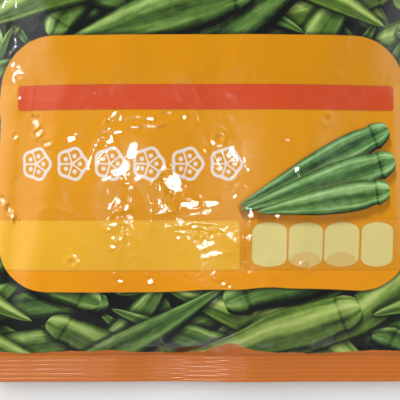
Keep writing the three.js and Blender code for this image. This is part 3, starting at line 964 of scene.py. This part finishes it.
class FilmPrint:
    """What is printed on the film, laid on layer by layer."""

    def __init__(self, sheet, place):
        self.sheet = sheet
        self.settings = bpy.context.scene.okra_print
        self.x, self.y, _ = sheet.parts(place)
        self.up = self.y - slack(sheet, self.x, self.y)
        self.box, self.pod, self.slice = box_group(), printed_pod_group(), slice_group()
        self.layer = pod_layer_group(self.pod)

    def ink(self, name):
        return tuple(getattr(self.settings, name))

    def lay(self, under, share, name):
        """A plain ink over what is printed so far."""
        return self.sheet.mix(share, under, self.ink(name))

    def edge_of(self, sides, up=None):
        """Distance from a box's outline, negative inside."""
        up = self.up if up is None else up
        return self.sheet.group(self.box, x=self.x, y=up, **sides)["Distance"]

    def inside(self, distance, soft=SOFT):
        return self.sheet.ease(distance, -soft, soft, 1.0, 0.0)

    def rim(self, distance, width, strength):
        """A soft line along an outline."""
        return self.sheet.ease(abs(distance), 0.0, width, strength, 0.0)

    def heap(self):
        """A heap of pods over all the film."""
        sheet = self.sheet
        picture = self.ink("okra_gap")
        place = sheet.join(self.x, self.up)
        for turn, seed, length, width, gaps in HEAP_LAYERS:
            pods = sheet.group(self.layer, place=place, turn=turn, seed=seed, cell_length=length,
                               cell_width=width, gaps=gaps)
            picture = self.lay(picture, pods["Shade"] * 0.8, "okra_gap")
            picture = sheet.mix(pods["Cover"], picture, pods["Colour"])
        return picture

    def panel_ground(self):
        """The panel's oranges, the strip and the row with their darker rims, and the bar."""
        sheet = self.sheet
        in_header = sheet.ease(self.up, HEADER_LOW - HEADER_SOFT, HEADER_LOW + HEADER_SOFT)
        orange = self.lay(self.ink("panel"), in_header, "header")
        in_foot = sheet.ease(self.up, FOOT_HIGH - FOOT_SOFT, FOOT_HIGH + FOOT_SOFT, 1.0, 0.0)
        orange = self.lay(orange, in_foot, "foot")
        for sides, fill in ((SIDE_ROW, "side_row"), (STRIP, "strip")):
            distance = self.edge_of(sides)
            orange = self.lay(orange, self.inside(distance), fill)
            orange = self.lay(orange, self.rim(distance, width=0.9, strength=0.3), "rim")
        bar = self.edge_of(BAR)
        orange = self.lay(orange, self.inside(bar), "bar")
        return self.lay(orange, self.rim(bar, width=0.6, strength=0.25), "shadow")

    def tabs(self, orange):
        """Cream tabs with bulging ends."""
        sheet = self.sheet
        half = (TAB_HIGH - TAB_LOW) / 2
        from_middle = self.up - (TAB_LOW + TAB_HIGH) / 2
        for number, (left, right) in enumerate(TAB_EDGES):
            off = self.x - (left + right) / 2
            barrel = abs(from_middle) + off * off * TAB_BULGE
            tab = self.edge_of(box_sides(left, right, -half, half, TAB_CORNER), barrel)
            cream = self.ink("tab")
            if number in TINTED_TABS:
                cream = self.tinted_foot(cream, off, from_middle)
            orange = self.lay(orange, self.rim(tab, width=1.0, strength=0.45), "rim")
            orange = sheet.mix(self.inside(tab, TAB_SOFT), orange, cream)
        return orange

    def tinted_foot(self, cream, off, from_middle):
        """An oval tint at a tab's foot."""
        sheet = self.sheet
        across = off / TINT_HALF_WIDTH
        up = (from_middle + TINT_DROP) / TINT_HALF_HEIGHT
        tint = sheet.ease(sheet.distance(across, up), 0.92, 1.02, 0.5, 0.0)
        return self.lay(cream, tint, "tab_foot")

    def slices(self, orange):
        """A row of white slices."""
        sheet, step = self.sheet, SLICES["step"]
        along = self.x - (SLICES["first"] - step / 2)
        number = sheet.math("FLOOR", along / step)
        middle = (number + 0.5) * step
        half_row = (SLICES["count"] - 1) / 2
        in_row = sheet.math("COMPARE", number, half_row, half_row + 0.25)
        cover = sheet.group(self.slice, x=along - middle, y=self.up - SLICES["y"],
                            radius=SLICES["radius"])["Cover"]
        return self.lay(orange, cover * in_row, "white")

    def motif_pod(self, number, drop=0.0):
        """One of the pods beside the slices, moved down the print by drop."""
        sheet = self.sheet
        (stem_x, stem_y), turn, length, radius = MOTIF_PODS[number]
        from_stem = sheet.join(self.x - stem_x, self.up - (stem_y - drop))
        along, across = sheet.turned(from_stem, -turn)
        return sheet.group(self.pod, along=along, across=-across, length=length, radius=radius,
                           tone=0.4 + 0.12 * number, depth=0.42)

    def motif(self, orange):
        """The pods beside the slices, with their shadows."""
        sheet = self.sheet
        for number in range(len(MOTIF_PODS)):
            shade = self.motif_pod(number, MOTIF_SHADOW_DROP)["Shade"]
            orange = self.lay(orange, shade * 0.55, "shadow")
            pod = self.motif_pod(number)
            green = sheet.mix(1.0, pod["Colour"], self.ink("motif_tint"), "MULTIPLY")
            orange = sheet.mix(pod["Cover"], orange, green)
        return orange

    def panel(self, picture):
        """The orange panel over the heap, which is darker round it."""
        edge = self.edge_of(PANEL)
        picture = self.lay(picture, self.sheet.ease(edge, 0.2, 2.6, 0.7, 0.0), "okra_gap")
        orange = self.motif(self.slices(self.tabs(self.panel_ground())))
        return self.sheet.mix(self.inside(edge), picture, orange)

    def bands(self, picture):
        """The sealed ends in plain orange, with a wavy edge."""
        sheet = self.sheet
        wave = sheet.math("SINE", self.x * 0.1) * BAND_WAVE
        wave += hump(sheet, self.x, *BAND_HUMP) * (self.y < 0.0)
        edge = abs(self.y) + wave
        start = self.settings.band_start
        return self.lay(picture, sheet.ease(edge, start - BAND_SOFT, start + BAND_SOFT), "band")


def film_relief(sheet, place):
    """Fine crumple of the film, and the ribs of the crimped bands, in millimetres."""
    _, y, _ = sheet.parts(place)
    fine = sheet.noise(place, 0.13, 3.0)
    specks = sheet.ease(sheet.noise(place, 0.8, 1.0), 0.66, 0.8)
    height = abs(fine - 0.5) * 0.16 + specks * 0.05
    ribs = sheet.math("SINE", y * (2 * math.pi / CRIMP_STEP)) * CRIMP_RISE
    crimp = sheet.ease(abs(y), SEAL_START + 0.3, SEAL_START + 0.8)
    return sheet.blend_number(crimp, height, ribs)


def film_material():
    material, sheet, surface = new_material("printed film")
    place = sheet.outputs(sheet.node("ShaderNodeUVMap", uv_map="print"))["UV"]
    printed = FilmPrint(sheet, place)
    picture = printed.bands(printed.panel(printed.heap()))
    sheet.feed(surface.inputs["Base Color"], picture)
    surface.inputs["Roughness"].default_value = 0.28
    surface.inputs["Specular IOR Level"].default_value = 0.22
    surface.inputs["Coat Weight"].default_value = 1.0
    surface.inputs["Coat Roughness"].default_value = 0.06
    normal = sheet.bump(film_relief(sheet, place), MM)
    sheet.feed(surface.inputs["Normal"], normal)
    sheet.feed(surface.inputs["Coat Normal"], normal)
    return material


def pod_material():
    """Frosted green skin, streaked along the pod's own map."""
    material, sheet, surface = new_material("frozen okra skin")
    place = sheet.outputs(sheet.node("ShaderNodeUVMap", uv_map="along"))["UV"]
    around, along, _ = sheet.parts(place)
    spots = sheet.outputs(sheet.node("ShaderNodeTexCoord"))["Object"]
    skin_noise = sheet.noise(sheet.join(around * 3.0, along), 9.0, 5.0, 0.6)
    greens = [(0.25, colour(52, 78, 36)), (0.5, colour(88, 126, 60)), (0.8, colour(128, 163, 88))]
    green = sheet.ramp(skin_noise, greens)
    frost = sheet.ease(sheet.noise(spots, 420.0, 6.0, 0.7), 0.5, 0.72, 0.0, 0.75)
    sheet.feed(surface.inputs["Base Color"], sheet.mix(frost, green, tuple(colour(222, 232, 224))))
    sheet.feed(surface.inputs["Roughness"], sheet.blend_number(frost, 0.38, 0.85))
    frozen = sheet.noise(spots, 900.0, 4.0, 0.6)
    sheet.feed(surface.inputs["Normal"], sheet.bump(frozen, 0.3 * MM))
    return material


def floor_material():
    settings = bpy.context.scene.okra_studio
    material, _, surface = new_material("pale floor")
    surface.inputs["Base Color"].default_value = (*settings.floor, 1)
    surface.inputs["Roughness"].default_value = 0.9
    return material


# Settings


def screen_colour(name, description, red, green, blue):
    """The setting of a colour, with the red, green and blue of a screen as its default."""
    shade = colour(red, green, blue)
    return FloatVectorProperty(name=name, description=description, subtype="COLOR", default=shade)


def millimetres(name, description, default):
    """The setting of a small length, which is in millimetres of film and not in scene units."""
    return FloatProperty(name=name, description=f"{description}, in millimetres", default=default)


class OkraFilmSettings(bpy.types.PropertyGroup):
    front_columns: IntProperty(
        name="Front columns", description="Columns of faces across the front", default=380
    )
    back_columns: IntProperty(
        name="Back columns", description="Columns of faces across the back, an even number",
        default=70,
    )
    rows: IntProperty(name="Rows", description="Rows of faces along the bag", default=480)
    sag: millimetres("Sag", "How far the film sinks between the pods", 1.0)
    pod_gap: millimetres("Pod gap", "Least gap from film to pod", 0.5)
    drape_rounds: IntProperty(
        name="Drape rounds", description="Rounds that smooth the film over the pods", default=60
    )
    crumple: millimetres("Crumple", "Height of the random creases", 0.16)
    creases: IntProperty(name="Creases", description="Number of single sharp creases", default=110)
    fold_rise: FloatProperty(
        name="Fold rise", description="Height of the pressed folds, as a share", default=1.0
    )
    crease_rise: millimetres("Crease rise", "Height of the tallest crease", 0.2)
    crinkle: millimetres("Crinkle", "Depth of the fine crinkles", 0.16)
    gather_rise: millimetres("Gather rise", "Height of the tallest gather at a seal", 1.1)
    side_pucker: millimetres("Side pucker", "Height of the puckers along the side folds", 0.8)
    fill: FloatProperty(name="Fill", description="From 0, slack, to 1, tight", default=0.6)


class OkraPrintSettings(bpy.types.PropertyGroup):
    panel: screen_colour("Panel", "Orange of the panel", 227, 152, 25)
    header: screen_colour("Header", "Orange of the panel's top", 219, 145, 16)
    foot: screen_colour("Foot", "Deeper orange of the panel's foot", 244, 157, 18)
    strip: screen_colour("Strip", "Yellow of the wide strip", 241, 180, 46)
    side_row: screen_colour("Side row", "Orange behind the tabs", 228, 154, 34)
    bar: screen_colour("Bar", "Red of the bar", 214, 80, 42)
    tab: screen_colour("Tab", "Cream of the tabs", 230, 214, 137)
    tab_foot: screen_colour("Tab foot", "Orange tint of two tabs' feet", 226, 170, 90)
    white: screen_colour("White", "White of the slices", 238, 226, 214)
    rim: screen_colour("Rim", "Darker rim of the strip and the tabs", 200, 116, 30)
    band: screen_colour("Band", "Orange of the sealed bands", 206, 116, 48)
    motif_tint: FloatVectorProperty(
        name="Motif tint", description="Tints the green of the three pods",
        subtype="COLOR", default=(1.02, 1.2, 1.68),
    )
    shadow: screen_colour("Shadow", "Shadow under the printed pods", 120, 66, 20)
    okra_light: screen_colour("Okra light", "Lightest printed green", 158, 190, 112)
    okra_pale: screen_colour("Okra pale", "Palest printed green", 196, 220, 156)
    okra_mid: screen_colour("Okra mid", "Middle printed green", 92, 128, 60)
    okra_dark: screen_colour("Okra dark", "Dark printed green", 44, 64, 34)
    okra_gap: screen_colour("Okra gap", "Shadow between printed pods", 20, 23, 22)
    band_start: millimetres(
        "Band start", "Where the orange bands start, from the middle of the film", 121.6
    )


class OkraStudioSettings(bpy.types.PropertyGroup):
    camera_height: FloatProperty(
        name="Camera height", description="Above the top of the bag", default=0.6, unit="LENGTH"
    )
    frame_width: FloatProperty(
        name="Frame width", description="Width that the picture shows at the bag's top",
        default=0.170, unit="LENGTH",
    )
    frame_middle: FloatVectorProperty(
        name="Frame middle", description="Middle of the picture",
        size=2, default=(-0.0019, -0.0463), unit="LENGTH",
    )
    floor: FloatVectorProperty(
        name="Floor", description="Colour of the floor", subtype="COLOR", default=(0.86, 0.86, 0.85)
    )
    daylight: FloatProperty(
        name="Daylight", description="Strength of the light from low all round", default=0.92
    )
    overhead: FloatProperty(
        name="Overhead", description="Strength of the light from straight above", default=0.08
    )


# Operators


def add_object(name, mesh, material):
    piece = bpy.data.objects.new(name, mesh)
    bpy.context.scene.collection.objects.link(piece)
    mesh.materials.append(material)
    return piece


class OKRA_OT_add_studio(bpy.types.Operator):
    """Add the camera, a pale floor and soft lights"""

    bl_idname = "okra.add_studio"
    bl_label = "Studio"

    def execute(self, context):
        settings = context.scene.okra_studio
        lens = bpy.data.cameras.new("camera")
        lens.lens = lens.sensor_width * settings.camera_height / settings.frame_width
        lens.clip_start, lens.clip_end = 0.01, 20
        camera = bpy.data.objects.new("camera", lens)
        camera.location = camera_place()
        context.scene.collection.objects.link(camera)
        context.scene.camera = camera

        bpy.ops.object.select_all(action="DESELECT")
        bpy.ops.mesh.primitive_plane_add(size=FLOOR_SIZE, location=(0, 0, FLOOR_HEIGHT))
        floor = context.active_object
        floor.name = "floor"
        floor.data.materials.append(floor_material())

        # The film mirrors the small lamps alone
        for name, (place, size, power) in {**SOFTBOXES, **GLINT_LAMPS}.items():
            lamp = bpy.data.lights.new(name, "AREA")
            lamp.shape, lamp.size, lamp.energy = "DISK", size, power
            light = bpy.data.objects.new(name, lamp)
            light.location = place
            aim = Vector((0, 0, FILL_HEIGHT / 2 * MM)) - light.location
            light.rotation_euler = aim.to_track_quat("-Z", "Y").to_euler()
            light.visible_glossy = name in GLINT_LAMPS
            context.scene.collection.objects.link(light)

        # Daylight from low all round, weaker from below the bag's foot, and little from above
        world = bpy.data.worlds.new("studio")
        world.use_nodes = True
        sky = Sheet(world.node_tree)
        _, ahead, up = sky.parts(sky.outputs(sky.node("ShaderNodeTexCoord"))["Generated"])
        low = sky.ease(ahead, -0.7, 0.0, 0.25, 1.0) * settings.daylight
        strength = sky.ease(up, 0.45, 0.85, low, settings.overhead)
        background = world.node_tree.nodes["Background"]
        background.inputs["Color"].default_value = (1, 1, 1, 1)
        sky.feed(background.inputs["Strength"], strength)
        context.scene.world = world
        context.scene.view_settings.view_transform = "Standard"
        return {"FINISHED"}


class OKRA_OT_add_film(bpy.types.Operator):
    """Model the printed film bag over its solid"""

    bl_idname = "okra.add_film"
    bl_label = "Film Bag"

    def execute(self, context):
        settings = context.scene.okra_film
        film = add_object("film_bag_printed", film_mesh(settings), film_material())
        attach(film, "root")
        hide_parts("film_bag")
        return {"FINISHED"}


def finish_pod(piece):
    """Joins a copied pod's faces and subdivides it smooth."""
    bpy.ops.object.select_all(action="DESELECT")
    piece.select_set(True)
    bpy.context.view_layer.objects.active = piece
    bpy.ops.object.mode_set(mode="EDIT")
    bpy.ops.mesh.select_all(action="SELECT")
    bpy.ops.mesh.remove_doubles(threshold=1e-6)
    bpy.ops.mesh.tris_convert_to_quads()
    bpy.ops.object.mode_set(mode="OBJECT")
    finer = piece.modifiers.new("finer", "SUBSURF")
    finer.levels = finer.render_levels = 2
    bpy.ops.object.modifier_apply(modifier=finer.name)
    bpy.ops.object.shade_smooth()


def map_pod(piece):
    """Gives a pod the UV map along: places round it, and along it from 0 to 1."""
    points = np.array([v.co for v in piece.data.vertices])
    middle = points.mean(0)
    axes = np.linalg.svd(points - middle, full_matrices=False)[2]
    along, side, up = ((points - middle) @ axes.T).T
    around = np.arctan2(up, side) / (2 * math.pi)
    span = (along - along.min()) / (along.max() - along.min())
    layer = piece.data.uv_layers.new(name="along")
    places = []
    for face in piece.data.polygons:
        turns = np.array([around[v] for v in face.vertices])
        if turns.max() - turns.min() > 0.5:
            turns = np.where(turns < 0, turns + 1, turns)
        places += list(zip(turns, (span[v] for v in face.vertices)))
    layer.uv.foreach_set("vector", np.array(places, np.float32).ravel())


class OKRA_OT_add_pods(bpy.types.Operator):
    """Round off the frozen pods and give them their skin"""

    bl_idname = "okra.add_pods"
    bl_label = "Pods"

    def execute(self, context):
        material = pod_material()
        for name in POD_NODES:
            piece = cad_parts[name].copy()
            piece.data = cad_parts[name].data.copy()
            piece.name = name.replace("okra_pod", "frozen_pod")
            for key in list(piece.keys()):
                del piece[key]
            piece.parent = None
            context.scene.collection.objects.link(piece)
            finish_pod(piece)
            map_pod(piece)
            piece.data.materials.clear()
            piece.data.materials.append(material)
            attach(piece, "root")
            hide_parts(name)
        return {"FINISHED"}


class OKRA_PT_panel(bpy.types.Panel):
    bl_label = "Okra Bag"
    bl_idname = "OKRA_PT_panel"
    bl_space_type = "VIEW_3D"
    bl_region_type = "UI"
    bl_category = "Okra Bag"

    def draw(self, context):
        for operator in OPERATORS:
            self.layout.operator(operator.bl_idname)
        for name, group in GROUPS.items():
            box = self.layout.box()
            for setting in group.__annotations__:
                box.prop(getattr(context.scene, name), setting)


OPERATORS = (OKRA_OT_add_studio, OKRA_OT_add_film, OKRA_OT_add_pods)
GROUPS = {
    "okra_film": OkraFilmSettings,
    "okra_print": OkraPrintSettings,
    "okra_studio": OkraStudioSettings,
}


def register():
    for kind in (*GROUPS.values(), *OPERATORS, OKRA_PT_panel):
        bpy.utils.register_class(kind)
    for name, group in GROUPS.items():
        setattr(bpy.types.Scene, name, PointerProperty(type=group))


def unregister():
    for name in GROUPS:
        delattr(bpy.types.Scene, name)
    for kind in (OKRA_PT_panel, *reversed(OPERATORS), *reversed(GROUPS.values())):
        bpy.utils.unregister_class(kind)


def main():
    register()
    bpy.ops.okra.add_studio()
    bpy.ops.okra.add_film()
    bpy.ops.okra.add_pods()


if __name__ == "__main__":
    main()
